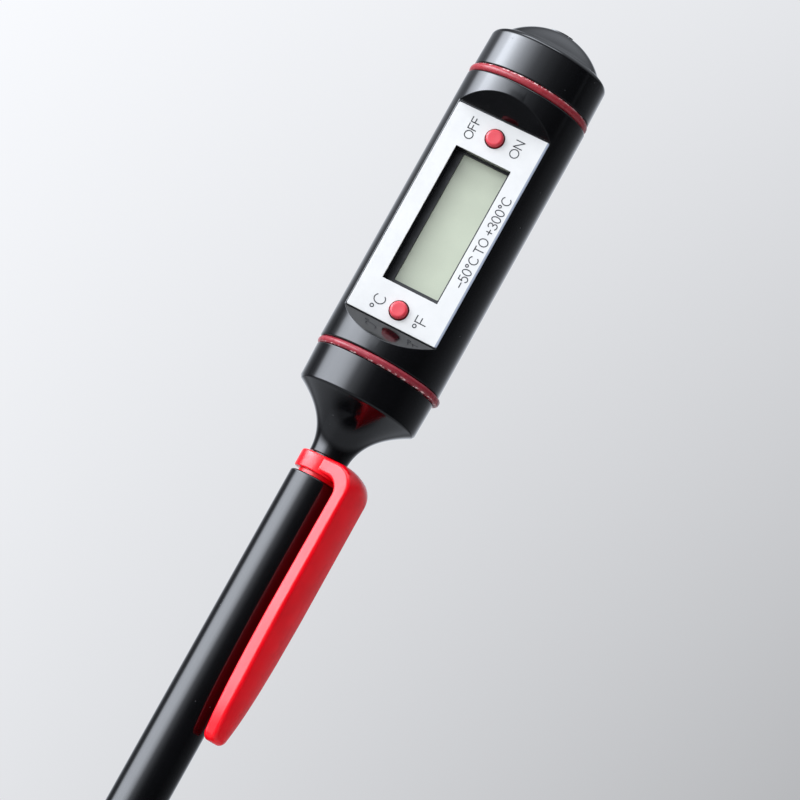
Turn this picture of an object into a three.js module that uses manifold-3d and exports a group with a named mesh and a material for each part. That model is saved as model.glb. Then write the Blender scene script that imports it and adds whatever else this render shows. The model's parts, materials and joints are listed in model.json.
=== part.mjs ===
// A digital pen thermometer: a round head with a recessed display face, a screwed battery cap,
// a nose cone that holds the steel probe, and a protective sheath with a pocket clip.
//
// Millimetres, +Z up along the probe's axis. The origin is the centre of the sheath's flat closed end.
// The display faces -Y. "depth" below is a distance from the axis towards the display side.

import * as THREE from 'three';
import { mergeVertices } from 'three/addons/utils/BufferGeometryUtils.js';
import Module from 'manifold-3d';

const wasm = await Module();
wasm.setup();

// ---------------------------------------------------------------- driving dimensions

const DEG = Math.PI / 180;
const TOUCH = 0.03;            // gap left between two pieces that rest on each other
const FIT = 0.08;              // radial clearance of a piece that turns or slides in another
const SEAL_FIT = 0.06;         // radial clearance between a fixed round piece and the hole it fills
const FINE = 64;               // sides of the large round outer pieces
const ROUND = 36;              // sides of the sheath, the clip's ring and the inner round pieces
const SMALL = 20;              // sides of small round pieces

const SHEATH = { radius: 4.1, bore: 3.2, floor: 1.5, top: 155.6, edge: 0.5 };
const CLIP = {
  ringRadius: 4.0, ringBottom: 156.25, ringTop: 159.0, collarBottom: 150.0,
  armStart: 1.4, outer: 7.9, outerTip: 7.35, inner: 5.45, innerTip: 5.2,
  tip: 114.3, bendOutside: 3.7, bendInside: 2.3,
  topWidth: 7.4, middleWidth: 7.4, lowWidth: 6.2, tipWidth: 4.2, angle: -16.6 * DEG,
};
const NECK = { radius: 3.07, bottom: 159.3, plugRadius: 2.5, plugBottom: 149.6 };
const NOSE = { radius: 9.8, draftRadius: 9.66, bottom: 168.1, top: 173.85 };
const BARREL = { radius: 10.0, bore: 8.3, bottom: 175.0, top: 221.0 };
const NOSE_SPIGOT = { radius: 8.12, inner: 7.0, top: 176.8 };
const FACE = { floor: 6.27, inside: 5.0, low: 180.4, high: 215.7, endSlope: 0.82 };
const LABEL = { left: -7.6, right: 7.72, low: 180.48, high: 215.62, thickness: 0.18 };
const WINDOW = { left: -4.7, right: 4.6, low: 186.4, high: 209.2 };
const VIEW = { left: -3.55, right: 3.85, low: 187.3, high: 208.95 };
const BEZEL = { lipBack: 3.9, lipFront: 4.12, front: 4.95, halfWidth: 5.9, margin: 0.9 };
const RING = { nose: 10.5, cap: 10.05, edge: 0.45 };
const BUTTON = {
  radius: 1.37, hole: 1.47, top: 7.15, flange: 2.2, foot: 1.0, powerHeight: 212.6, unitHeight: 183.0,
};
const BOARD = { halfWidth: 7.8, low: 178.6, high: 214.2, front: 0.6, thickness: 1.0 };
const SEAT = { hole: 7.6, step: 217.6, low: 215.9 };
const CELL = { radius: 5.8, height: 5.4, bottom: 218.6 };
const CAP = {
  radius: 9.76, draftRadius: 9.66, low: 222.3, shoulder: 228.4, corner: 0.9,
  spigot: 7.3, inner: 6.2, spigotLow: 217.9, ceiling: 229.2,
};
const DOME = { radius: 7.9, base: 229.2, apex: 232.95 };
const SLOT = { length: 11.0, width: 1.8, floor: 230.7 };
const PROBE = { radius: 1.75, bore: 1.45, tip: 5.6, shoulder: 11.5, top: 172.6 };

// ---------------------------------------------------------------- materials

const plastic = (color, roughness = 0.3) =>
  new THREE.MeshStandardMaterial({ color, roughness, metalness: 0 });
const metal = (color, roughness = 0.3) =>
  new THREE.MeshStandardMaterial({ color, roughness, metalness: 1 });

const BLACK = 0x141416;
const RED = 0xc81424;

// ---------------------------------------------------------------- shapes

/** Points along an outline whose corners may be rounded: each corner is [x, y] or [x, y, radius]. */
function rounded(corners, steps = 2) {
  const points = [];
  corners.forEach(([x, y, radius], i) => {
    if (!radius) {
      points.push(new THREE.Vector2(x, y));
      return;
    }
    const corner = new THREE.Vector2(x, y);
    const before = corners[(i + corners.length - 1) % corners.length];
    const after = corners[(i + 1) % corners.length];
    const back = new THREE.Vector2(before[0] - x, before[1] - y).normalize();
    const ahead = new THREE.Vector2(after[0] - x, after[1] - y).normalize();
    const half = Math.acos(THREE.MathUtils.clamp(back.dot(ahead), -1, 1)) / 2;
    const reach = radius / Math.tan(half);
    const centre = back.clone().add(ahead).normalize().multiplyScalar(radius / Math.sin(half)).add(corner);
    const from = corner.clone().addScaledVector(back, reach).sub(centre);
    const to = corner.clone().addScaledVector(ahead, reach).sub(centre);
    const turn = Math.atan2(from.cross(to), from.dot(to));
    for (let k = 0; k <= steps; k += 1) {
      points.push(from.clone().rotateAround(new THREE.Vector2(), turn * k / steps).add(centre));
    }
  });
  return points;
}

/** Turns the faces of a closed geometry to the outside. */
function outward(geometry) {
  const bare = geometry.index ? geometry.toNonIndexed() : geometry;
  const p = bare.attributes.position;
  const [a, b, c] = [new THREE.Vector3(), new THREE.Vector3(), new THREE.Vector3()];
  let volume = 0;
  for (let i = 0; i < p.count; i += 3) {
    a.fromBufferAttribute(p, i);
    b.fromBufferAttribute(p, i + 1);
    c.fromBufferAttribute(p, i + 2);
    volume += a.dot(b.cross(c));
  }
  if (volume < 0) {
    const flipped = p.array;
    for (let i = 0; i < flipped.length; i += 9) {
      for (let k = 0; k < 3; k += 1) {
        [flipped[i + 3 + k], flipped[i + 6 + k]] = [flipped[i + 6 + k], flipped[i + 3 + k]];
      }
    }
  }
  const closed = new THREE.BufferGeometry();
  closed.setAttribute('position', new THREE.BufferAttribute(p.array.slice(), 3));
  return mergeVertices(closed, 1e-4);
}

/** A solid of revolution about Z from a closed outline of [radius, height, corner radius]. */
function turned(corners, sides = ROUND, steps = 2) {
  const outline = rounded(corners, steps);
  outline.push(outline[0].clone());
  return outward(new THREE.LatheGeometry(outline, sides).rotateX(90 * DEG));
}

/** A flat outline in X and Z, thickened from one depth to a greater one (towards -Y). */
function plate(shape, fromDepth, toDepth) {
  const extruded = new THREE.ExtrudeGeometry(shape, { depth: toDepth - fromDepth, bevelEnabled: false });
  return outward(extruded.rotateX(90 * DEG).translate(0, -fromDepth, 0));
}

/** A flat outline in X and Y, raised from one height to another. */
function raised(shape, low, high, curveSegments = 20) {
  const extruded = new THREE.ExtrudeGeometry(shape, { depth: high - low, bevelEnabled: false, curveSegments });
  return outward(extruded.translate(0, 0, low));
}

function block(xLow, xHigh, depthLow, depthHigh, zLow, zHigh) {
  const box = new THREE.BoxGeometry(xHigh - xLow, depthHigh - depthLow, zHigh - zLow);
  return outward(box.translate((xLow + xHigh) / 2, -(depthLow + depthHigh) / 2, (zLow + zHigh) / 2));
}

function rectangle(left, right, low, high, corner = 0) {
  return new THREE.Shape(rounded([
    [left, low, corner], [right, low, corner], [right, high, corner], [left, high, corner],
  ], 3));
}

function circlePath(x, y, radius, sides = SMALL) {
  const points = Array.from({ length: sides }, (_, i) => new THREE.Vector2(
    x + radius * Math.cos(2 * Math.PI * i / sides),
    y + radius * Math.sin(2 * Math.PI * i / sides),
  ));
  return new THREE.Path(points);
}

/** A circle about the axis with its display side cut off flat at a depth. */
function flattened(radius, depth) {
  const start = Math.asin(-depth / radius);
  const shape = new THREE.Shape();
  shape.absarc(0, 0, radius, start, Math.PI - start, false);
  shape.closePath();
  return shape;
}

/** A round piece whose own axis points out of the display face, at a height up the head. */
function facing(corners, height, sides = SMALL) {
  return turned(corners, sides).rotateX(90 * DEG).translate(0, 0, height);
}

/** A round bar or wire along a smooth curve through the given points. */
function wire(points, radius, steps, sides = 8) {
  const curve = new THREE.CatmullRomCurve3(points.map((p) => new THREE.Vector3(...p)));
  const section = new THREE.Shape(circlePath(0, 0, radius, sides).getPoints());
  return outward(new THREE.ExtrudeGeometry(section, { steps, extrudePath: curve, bevelEnabled: false }));
}

/** Points of a conical coil about the axis. */
function coil(lowRadius, highRadius, low, high, turns, perTurn = 12) {
  return Array.from({ length: turns * perTurn + 1 }, (_, i) => {
    const share = i / (turns * perTurn);
    const radius = THREE.MathUtils.lerp(lowRadius, highRadius, share);
    const angle = 2 * Math.PI * i / perTurn;
    return [radius * Math.cos(angle), radius * Math.sin(angle), THREE.MathUtils.lerp(low, high, share)];
  });
}

// ---------------------------------------------------------------- joining and cutting

function solid(geometry) {
  const bare = geometry.clone();
  bare.deleteAttribute('normal');
  bare.deleteAttribute('uv');
  const merged = mergeVertices(bare, 1e-4);
  return new wasm.Manifold(new wasm.Mesh({
    numProp: 3,
    vertProperties: new Float32Array(merged.attributes.position.array),
    triVerts: new Uint32Array(merged.index.array),
  }));
}

function geometryOf(manifold) {
  const mesh = manifold.getMesh();
  const geometry = new THREE.BufferGeometry();
  geometry.setAttribute('position', new THREE.BufferAttribute(mesh.vertProperties, 3));
  geometry.setIndex(new THREE.BufferAttribute(mesh.triVerts, 1));
  return geometry;
}

const cut = (body, ...tools) =>
  geometryOf(tools.reduce((made, tool) => made.subtract(solid(tool)), solid(body)));
const join = (...pieces) =>
  geometryOf(pieces.map(solid).reduce((made, piece) => made.add(piece)));
const common = (first, second) => geometryOf(solid(first).intersect(solid(second)));

// ---------------------------------------------------------------- head shell

/** The round barrel: recessed display face with slanted ends, D-shaped inside, open at both ends. */
function barrel() {
  const { radius, bore, bottom, top } = BARREL;
  const edge = 0.25;
  const shell = turned([[0, bottom], [radius, bottom, edge], [radius, top, edge], [0, top]], FINE, 1);
  const beyond = radius + 1;
  const run = FACE.endSlope * (beyond - FACE.floor);
  const recess = new THREE.ExtrudeGeometry(new THREE.Shape([
    new THREE.Vector2(-FACE.floor, FACE.low), new THREE.Vector2(-FACE.floor, FACE.high),
    new THREE.Vector2(-beyond, FACE.high + run), new THREE.Vector2(-beyond, FACE.low - run),
  ]), { depth: 2 * beyond, bevelEnabled: false });
  recess.rotateX(90 * DEG).rotateZ(90 * DEG).translate(-beyond, 0, 0);

  const roundEnd = NOSE_SPIGOT.top + 0.2;
  const inside = join(
    turned([[0, bottom - 1], [bore, bottom - 1], [bore, roundEnd], [0, roundEnd]], ROUND),
    raised(flattened(bore, FACE.inside), bottom, SEAT.low),
    raised(flattened(SEAT.hole, FACE.inside), SEAT.low - 1, SEAT.step + 0.5),
    turned([[0, SEAT.step], [SEAT.hole, SEAT.step], [SEAT.hole, top + 1], [0, top + 1]], ROUND),
  );
  const window = block(WINDOW.left, WINDOW.right, FACE.inside - 1, beyond, WINDOW.low, WINDOW.high);
  const buttonHole = (height) => facing([
    [0, FACE.inside - 1], [BUTTON.hole, FACE.inside - 1], [BUTTON.hole, beyond], [0, beyond],
  ], height);
  const buttonHoles = [BUTTON.powerHeight, BUTTON.unitHeight].map(buttonHole);
  const hollow = cut(shell, outward(recess), inside, window, ...buttonHoles);

  // two rails on each side form the groove that the circuit board slides into
  const rail = { thickness: 0.7, play: 0.05, innerEdge: 7.3, outerEdge: bore + 0.5 };
  const lowDepths = [BOARD.front + rail.play, BOARD.front - BOARD.thickness - rail.play - rail.thickness];
  const rails = lowDepths.flatMap((depth) => [-1, 1].map((side) => {
    const edges = [side * rail.innerEdge, side * rail.outerEdge].sort((a, b) => a - b);
    return block(...edges, depth, depth + rail.thickness, roundEnd + 2, BOARD.high);
  }));
  return join(hollow, ...rails);
}

/** The nose: a spigot into the barrel, a short cylinder, a flare to the neck and a plug for the sheath. */
function noseCone() {
  const flare = new THREE.CubicBezierCurve(
    new THREE.Vector2(NECK.radius, NECK.bottom + 0.1), new THREE.Vector2(3.17, 162.97),
    new THREE.Vector2(5.17, 165.68), new THREE.Vector2(9.35, NOSE.bottom),
  );
  const bore = PROBE.radius + SEAL_FIT;
  const cavityFloor = NOSE.bottom + 1.0;
  const corners = [
    [bore, NECK.plugBottom], [NECK.plugRadius, NECK.plugBottom, 0.3], [NECK.plugRadius, NECK.bottom],
    ...flare.getPoints(8).map((p) => [p.x, p.y]),
    [NOSE.draftRadius, NOSE.bottom + 0.3], [NOSE.radius, NOSE.top, 0.15],
    [NOSE_SPIGOT.radius, NOSE.top], [NOSE_SPIGOT.radius, NOSE_SPIGOT.top, 0.2],
    [NOSE_SPIGOT.inner, NOSE_SPIGOT.top], [NOSE_SPIGOT.inner, cavityFloor], [bore, cavityFloor],
  ];
  return turned(corners, 48, 1);
}

/** A flat ring with a rounded outer edge, between two faces that it seals. */
function sealRing(inner, outer, lowFace, highFace) {
  const [low, high] = [lowFace + TOUCH, highFace - TOUCH];
  const edge = Math.min(RING.edge, (high - low) * 0.4);
  return turned([[inner, low], [outer, low, edge], [outer, high, edge], [inner, high]], 48, 1);
}

/** The screwed battery cap: domed top with a coin slot, and a hollow spigot that enters the barrel. */
function batteryCap() {
  const rise = DOME.apex - DOME.base;
  const sphere = (DOME.radius ** 2 + rise ** 2) / (2 * rise);
  const spread = Math.asin(DOME.radius / sphere);
  const dome = Array.from({ length: 6 }, (_, i) => {
    const angle = spread * (1 - i / 5);
    return [sphere * Math.sin(angle), DOME.apex - sphere * (1 - Math.cos(angle))];
  });
  const body = turned([
    [0, CAP.ceiling], [CAP.inner, CAP.ceiling, 0.4], [CAP.inner, CAP.spigotLow],
    [CAP.spigot, CAP.spigotLow, 0.25], [CAP.spigot, CAP.low], [CAP.radius, CAP.low, 0.2],
    [CAP.draftRadius, CAP.shoulder, CAP.corner], ...dome,
  ], FINE);
  const half = SLOT.length / 2;
  const slot = raised(rectangle(-half, half, -SLOT.width / 2, SLOT.width / 2, 0.6), SLOT.floor, DOME.apex + 1);
  return cut(body, slot);
}

// ---------------------------------------------------------------- display face

function faceLabel() {
  const shape = rectangle(LABEL.left, LABEL.right, LABEL.low, LABEL.high, 0.25);
  shape.holes.push(new THREE.Path(rectangle(WINDOW.left, WINDOW.right, WINDOW.low, WINDOW.high).getPoints()));
  shape.holes.push(circlePath(0, BUTTON.powerHeight, BUTTON.hole));
  shape.holes.push(circlePath(0, BUTTON.unitHeight, BUTTON.hole));
  return plate(shape, FACE.floor, FACE.floor + LABEL.thickness);
}

/** The frame behind the window: a collar as wide as the window, with a thin lip round the display's view. */
function displayBezel() {
  const { halfWidth, margin, lipBack, lipFront, front } = BEZEL;
  const frameAround = ({ left, right, low, high }) => {
    const shape = rectangle(-halfWidth, halfWidth, WINDOW.low - margin, WINDOW.high + margin, 0.3);
    shape.holes.push(new THREE.Path(rectangle(left, right, low, high).getPoints()));
    return shape;
  };
  return join(plate(frameAround(VIEW), lipBack, lipFront), plate(frameAround(WINDOW), lipFront, front));
}

/** One flat layer of the liquid crystal display. */
function displayLayer(halfWidth, margin, backDepth, frontDepth) {
  return block(-halfWidth, halfWidth, backDepth, frontDepth, WINDOW.low - margin, WINDOW.high + margin);
}

/** A round push button held under the face by its flange, with a small foot behind it. */
function pushButton(height) {
  const flangeTop = FACE.inside - 0.05;
  return facing([
    [0, 3.85], [BUTTON.foot, 3.85], [BUTTON.foot, 4.15], [BUTTON.flange, 4.15, 0.1],
    [BUTTON.flange, flangeTop, 0.1], [BUTTON.radius, flangeTop], [BUTTON.radius, BUTTON.top, 0.3],
    [0, BUTTON.top],
  ], height, 24);
}

const SWITCH = { half: 2.1, top: 2.6, well: 1.2, hole: 1.25, plunger: 1.1, plungerLow: 1.75, plungerTop: 3.6 };

function switchBody(height) {
  const { half, top, well, hole } = SWITCH;
  const box = block(-half, half, BOARD.front + TOUCH, top, height - half, height + half);
  return cut(box, facing([[0, well], [hole, well], [hole, top + 1], [0, top + 1]], height));
}

function switchPlunger(height) {
  const { plunger, plungerLow, plungerTop } = SWITCH;
  const corners = [[0, plungerLow], [plunger, plungerLow], [plunger, plungerTop, 0.1], [0, plungerTop]];
  return facing(corners, height);
}

// ---------------------------------------------------------------- electronics

function circuitBoard() {
  const { halfWidth, low, high, front, thickness } = BOARD;
  const shape = rectangle(-halfWidth, halfWidth, low, high, 0.6);
  return plate(shape, front - thickness, front);
}

const boardBack = BOARD.front - BOARD.thickness - TOUCH;

/** The drop of black resin over the bonded measuring chip, on the back of the board. */
function chipBlob() {
  const [radius, height, middle] = [4.2, 1.3, 199.0];
  const corners = [
    [0, 0], [radius, 0], [radius * 0.92, height * 0.45], [radius * 0.6, height * 0.88], [0, height],
  ];
  return turned(corners, 28).rotateX(-90 * DEG).translate(0, -boardBack, middle);
}

/** A small part with two end caps, soldered flat on the back of the board. */
const chipPart = (x, z, length, width, height) =>
  block(x - width / 2, x + width / 2, boardBack - height, boardBack, z - length / 2, z + length / 2);

/** The moulded seat for the cell: a D-shaped plate with a raised middle and a slot for the side contact. */
function cellSeat() {
  const seat = join(
    raised(flattened(8.0, 4.7), 215.0, 215.7),
    raised(flattened(7.3, 4.7), 215.4, 217.5),
  );
  const contactSlot = block(-1.2, 1.2, -6.5, -5.6, 214, 218);
  const leadHole = turned([[0, 214], [0.6, 214], [0.6, 218], [0, 218]], 16);
  return cut(seat, contactSlot, leadHole);
}

function buttonCell() {
  const { radius, height, bottom } = CELL;
  return turned([
    [0, bottom], [radius - 1.1, bottom, 0.3], [radius - 1.1, bottom + 0.5], [radius, bottom + 0.5, 0.3],
    [radius, bottom + height, 0.3], [0, bottom + height],
  ], 30, 1);
}

/** The strip that touches the side of the cell and runs down to the board. */
const sideContact = () => block(-0.9, 0.9, -6.03, -5.88, 213.0, 222.0);

// ---------------------------------------------------------------- probe and sheath

function probeTube() {
  const { radius, bore, tip, shoulder, top } = PROBE;
  return turned([
    [0, tip], [0.35, tip + 0.1], [radius, shoulder], [radius, top], [bore, top],
    [bore, shoulder + 0.5], [0, shoulder - 2.0],
  ], 24);
}

const resinPlug = () => turned([
  [PROBE.radius + SEAL_FIT, 169.15], [NOSE_SPIGOT.inner - 0.05, 169.15],
  [NOSE_SPIGOT.inner - 0.05, 171.2], [PROBE.radius + SEAL_FIT, 171.2],
], 24);

const thermistorBead = () => turned([[0, 12.4], [0.8, 12.4, 0.6], [0.8, 15.6, 0.6], [0, 15.6]], 16);

/** An insulated lead from the bead up the probe to the lower end of the board's back. */
function thermistorLead(side) {
  const back = -boardBack + 0.35;
  return wire([
    [side * 0.42, 0, 15.9], [side * 0.55, 0, 60], [side * 0.55, 0, 120], [side * 0.6, 0, 168],
    [side * 0.7, 0.05, 173.4], [side * 1.6, back, 177.0], [side * 2.2, back, 179.6], [side * 2.2, back, 182.5],
  ], 0.28, 26, 6);
}

function sheathTube() {
  const { radius, bore, floor, top, edge } = SHEATH;
  return turned([
    [0, 0], [radius, 0, edge], [radius, top, 0.3], [bore, top, 0.15], [bore, floor, 0.3], [0, floor],
  ]);
}

/** The clip: a ring with a collar for the sheath's mouth, and a flat arm bent down beside the sheath. */
function pocketClip() {
  const { ringRadius, ringBottom, ringTop, collarBottom, outer, inner, tip } = CLIP;
  const bore = NECK.plugRadius + FIT;
  const ring = turned([
    [bore, collarBottom], [SHEATH.bore - FIT, collarBottom, 0.2], [SHEATH.bore - FIT, ringBottom],
    [ringRadius, ringBottom, 0.2], [ringRadius, ringTop, 0.25], [bore, ringTop],
  ], ROUND, 1);

  const underside = ringBottom + 0.35;
  const side = new THREE.Shape(rounded([
    [CLIP.armStart, underside], [inner, underside, CLIP.bendInside], [CLIP.innerTip, tip, 0.6],
    [CLIP.outerTip, tip, 0.9], [outer, 128], [outer, ringTop, CLIP.bendOutside],
    [CLIP.armStart, ringTop],
  ], 6));
  const beyond = 6;
  const profile = outward(new THREE.ExtrudeGeometry(side, { depth: 2 * beyond, bevelEnabled: false })
    .translate(0, 0, -beyond).rotateX(90 * DEG));

  const [a, b, c, d] = [CLIP.topWidth, CLIP.middleWidth, CLIP.lowWidth, CLIP.tipWidth].map((w) => w / 2);
  const flank = new THREE.SplineCurve([[d, tip + 1.8], [c, 123], [b, 136], [b, 146], [a, ringTop]]
    .map((p) => new THREE.Vector2(...p))).getPoints(10);
  const front = new THREE.Shape(rounded([
    [-d, tip, 1.4], [d, tip, 1.4],
    ...flank.map((p) => [p.x, p.y]), ...flank.reverse().map((p) => [-p.x, p.y]),
  ], 4));
  const width = outward(new THREE.ExtrudeGeometry(front, { depth: outer + 2, bevelEnabled: false })
    .rotateX(90 * DEG).rotateZ(90 * DEG));
  const through = turned([[0, collarBottom - 1], [bore, collarBottom - 1], [bore, ringTop + 1], [0, ringTop + 1]]);
  return cut(join(ring, common(profile, width)), through);
}

// ---------------------------------------------------------------- assembly

const thermometer = new THREE.Group();

function add(name, geometry, material, turn = 0) {
  const mesh = new THREE.Mesh(geometry, material);
  mesh.name = name;
  mesh.rotation.z = turn;
  thermometer.add(mesh);
}

add('barrel', barrel(), plastic(BLACK, 0.18));
add('nose_cone', noseCone(), plastic(BLACK, 0.16));
const rubber = plastic(RED, 0.4);
add('nose_seal_ring', sealRing(NOSE_SPIGOT.radius + SEAL_FIT, RING.nose, NOSE.top, BARREL.bottom), rubber);
add('cap_seal_ring', sealRing(CAP.spigot + SEAL_FIT, RING.cap, BARREL.top, CAP.low), rubber.clone());
add('battery_cap', batteryCap(), plastic(BLACK, 0.18));
add('cap_spring', wire(coil(4.6, 2.0, CAP.ceiling - 0.35, CELL.bottom + CELL.height + 0.35, 3), 0.25, 36, 6),
  metal(0xb8bcc0));

add('face_label', faceLabel(), plastic(0xf4f4f2, 0.35));
add('display_bezel', displayBezel(), plastic(0x101012, 0.5));
add('display_polariser', displayLayer(4.5, 0.3, 3.66, 3.86), plastic(0xbecdb9, 0.35));
add('display_front_glass', displayLayer(6.1, 0.5, 2.9, 3.63), plastic(0xc8d2cc, 0.1));
add('display_rear_glass', displayLayer(4.7, 0.5, 2.1, 2.87), plastic(0xc8d2cc, 0.1));
add('display_reflector', displayLayer(4.5, 0.3, 1.9, 2.07), plastic(0xaab4aa, 0.6));
for (const [name, side] of [['contact_strip_left', -1], ['contact_strip_right', 1]]) {
  add(name, block(side * 5.45 - 0.45, side * 5.45 + 0.45, BOARD.front + TOUCH, 2.87, 188, 207.5),
    plastic(0x3a3a3c, 0.7));
}
for (const [name, height] of [['power', BUTTON.powerHeight], ['unit', BUTTON.unitHeight]]) {
  add(`${name}_button`, pushButton(height), plastic(RED, 0.3));
  add(`${name}_switch_body`, switchBody(height), plastic(0x1c1c1e, 0.6));
  add(`${name}_switch_plunger`, switchPlunger(height), plastic(0xd8d4c8, 0.5));
}

add('circuit_board', circuitBoard(), plastic(0x1d5a34, 0.5));
add('chip_blob', chipBlob(), plastic(0x0c0c0e, 0.3));
add('reference_resistor', chipPart(-4.6, 189.5, 2.0, 1.2, 0.6), plastic(0x18181a, 0.5));
add('pull_up_resistor', chipPart(-2.4, 189.5, 2.0, 1.2, 0.6), plastic(0x18181a, 0.5));
add('filter_capacitor', chipPart(3.6, 189.2, 2.0, 1.25, 0.9), plastic(0xb08a5a, 0.5));
add('cell_seat', cellSeat(), plastic(0xe6e4dc, 0.5));
add('seat_spring', wire(coil(3.4, 1.6, 217.82, CELL.bottom - 0.25, 2), 0.2, 24, 6), metal(0xb8bcc0));
add('side_contact', sideContact(), metal(0xc0b48c));
add('button_cell', buttonCell(), metal(0xc4c6c8, 0.25));

add('probe_tube', probeTube(), metal(0xc8cacc, 0.25));
add('resin_plug', resinPlug(), plastic(0x2a2622, 0.4));
add('thermistor_bead', thermistorBead(), plastic(0x6a3a24, 0.3));
add('thermistor_lead_left', thermistorLead(-1), plastic(0xb01818, 0.5));
add('thermistor_lead_right', thermistorLead(1), plastic(0x202022, 0.5));

add('sheath_tube', sheathTube(), plastic(BLACK, 0.22));
add('pocket_clip', pocketClip(), plastic(RED, 0.28), CLIP.angle);

export default thermometer;
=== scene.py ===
"""A digital pen thermometer: its fine surface, materials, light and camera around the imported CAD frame."""

import json
import math

import bmesh
import bpy
from mathutils import Matrix, Vector, noise


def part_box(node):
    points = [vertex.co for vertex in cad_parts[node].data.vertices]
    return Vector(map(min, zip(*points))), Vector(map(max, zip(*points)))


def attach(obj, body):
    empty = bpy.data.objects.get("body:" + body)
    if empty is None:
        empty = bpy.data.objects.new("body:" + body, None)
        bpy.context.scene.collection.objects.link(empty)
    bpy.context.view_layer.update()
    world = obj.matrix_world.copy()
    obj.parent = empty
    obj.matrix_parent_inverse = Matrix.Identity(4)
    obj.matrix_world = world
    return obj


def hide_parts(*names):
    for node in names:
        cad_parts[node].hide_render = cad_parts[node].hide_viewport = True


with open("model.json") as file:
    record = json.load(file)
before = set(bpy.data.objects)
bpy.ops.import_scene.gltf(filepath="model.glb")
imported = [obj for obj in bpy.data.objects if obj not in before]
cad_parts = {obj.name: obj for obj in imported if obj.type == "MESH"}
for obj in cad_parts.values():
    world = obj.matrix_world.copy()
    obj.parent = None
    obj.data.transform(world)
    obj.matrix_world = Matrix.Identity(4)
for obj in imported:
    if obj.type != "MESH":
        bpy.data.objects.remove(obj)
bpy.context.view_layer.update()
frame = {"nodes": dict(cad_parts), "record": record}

MM = 0.001                       # the shapes are written in millimetres and scaled at the end
FULL = 2 * math.pi
SHARP = 0.45                     # radians between two faces, from which an edge counts as sharp


# ---------------------------------------------------------------- driving dimensions, in millimetres
# Low and high are heights from the sheath's end. Depths on the display face are distances from the axis.

def span(node):
    """Lowest and highest corner of a CAD node."""
    low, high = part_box(node)
    return low / MM, high / MM


BARREL_LOW, BARREL_HIGH = span("barrel")
NOSE_LOW, NOSE_HIGH = span("nose_cone")
CAP_LOW = span("battery_cap")[0]
CLIP_LOW = span("pocket_clip")[0]
PROBE_LOW, PROBE_HIGH = span("probe_tube")
SHEATH_TOP = span("sheath_tube")[1].z

BARREL = {"radius": BARREL_HIGH.x, "low": BARREL_LOW.z, "high": BARREL_HIGH.z, "edge": 0.3}
FACE = {
    "floor": 6.27, "inside": 5.0, "low": 180.4, "high": 215.7, "slope": 0.82, "edge": 0.14, "edge_reach": 3.2,
}
BORE = {"round": 8.3, "seat_hole": 7.6, "seat_low": 215.9, "seat_step": 217.6, "round_end": 177.0}
WINDOW = {"left": -4.7, "right": 4.6, "low": 186.4, "high": 209.2}
DISPLAY_VIEW = {"left": -3.55, "right": 3.85, "low": 187.3, "high": 208.95}
BEZEL = {"half_width": 5.9, "margin": 0.9, "back": 3.9, "lip": 4.12, "front": 4.95}
BUTTON = {
    "radius": 1.35, "hole": 1.46, "top": 7.15, "rim": 0.42, "stem": 1.0, "stem_end": 3.85,
    "flange": 2.2, "flange_back": 4.15,
}
BUTTON_HEIGHTS = {"power": 212.6, "unit": 183.0}
LABEL = {
    "left": -7.6, "right": 7.71, "low": 180.48, "high": 215.6, "tilt": 0.2, "corner": 0.3,
    "white": 7.38, "thickness": 0.18, "hole_gap": 0.09,
}
PRINTING = {"half_stroke": 0.085, "letter_gap": 0.2, "sunk": 0.03, "thickness": 0.045}
NOSE = {
    "radius": 9.8, "draft": 9.66, "low": 168.1, "high": 173.85, "neck": 3.07, "neck_low": 159.3,
    "bore": 1.81, "cavity": 169.1, "plug": 2.5, "spigot": 8.12, "inner": 7.0, "flare": 9.35,
}
FLARE_HANDLES = [(3.17, 162.97), (5.17, 165.68)]
NOSE_SEAL = {"inner": 8.18, "outer": 10.5, "swell": 0.5, "lean": 11, "seed": 3.0}
CAP_SEAL = {"inner": 7.36, "outer": 10.05, "swell": 0.12, "lean": 200, "seed": 8.0}
CAP = {
    "radius": 9.76, "draft": 9.66, "low": 222.3, "shoulder": 228.4, "corner": 1.0,
    "ceiling": 229.2, "spigot": 7.3, "inner": 6.2,
}
DOME = {"radius": 7.9, "base": 229.25, "apex": 232.9}
SLOT = {"length": 11.0, "width": 1.7, "floor": 230.7}
ARROW = {
    "outer": 2.75, "inner": 2.25, "head_outer": 3.15, "head_inner": 1.85, "tip": 2.5,
    "start": 232, "end": 296, "head_at": 300, "tip_at": 318, "sunk": -0.12, "proud": 0.13,
}
THREAD = {
    "pitch": 1.6, "height": 0.2, "half_width": 0.3, "root": 0.15, "inside_low": 218.6, "inside_high": 220.8,
}
PROBE = {"radius": 1.75, "bore": 1.45, "shoulder": 11.5}
SHEATH = {"radius": 4.1, "bore": 3.2, "floor": 1.5, "edge": 0.5}
CLIP = {
    "ring": 4.0, "ring_low": 156.25, "ring_high": 159.0, "collar": 3.12, "collar_low": 150.0, "bore": 2.58,
    "angle": -16.6, "arm_start": 1.4, "outer": 7.6, "outer_lean": 0.4, "straight_low": 128,
    "inner": 5.45, "inner_tip": 5.2, "crown": 0.4, "corner": 0.5,
    "bend_outside": 3.6, "bend_inside": 2.3, "underside": 156.6, "tip_height": 1.4,
}
# half the arm's width at heights from the tip up
ARM_WIDTHS = [
    (114.3, 1.9), (115.8, 2.1), (117.5, 2.45), (119.8, 2.78), (123.0, 3.08), (129.0, 3.45), (136.0, 3.68),
    (159.0, 3.68),
]


# ---------------------------------------------------------------- outlines and meshes

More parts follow.
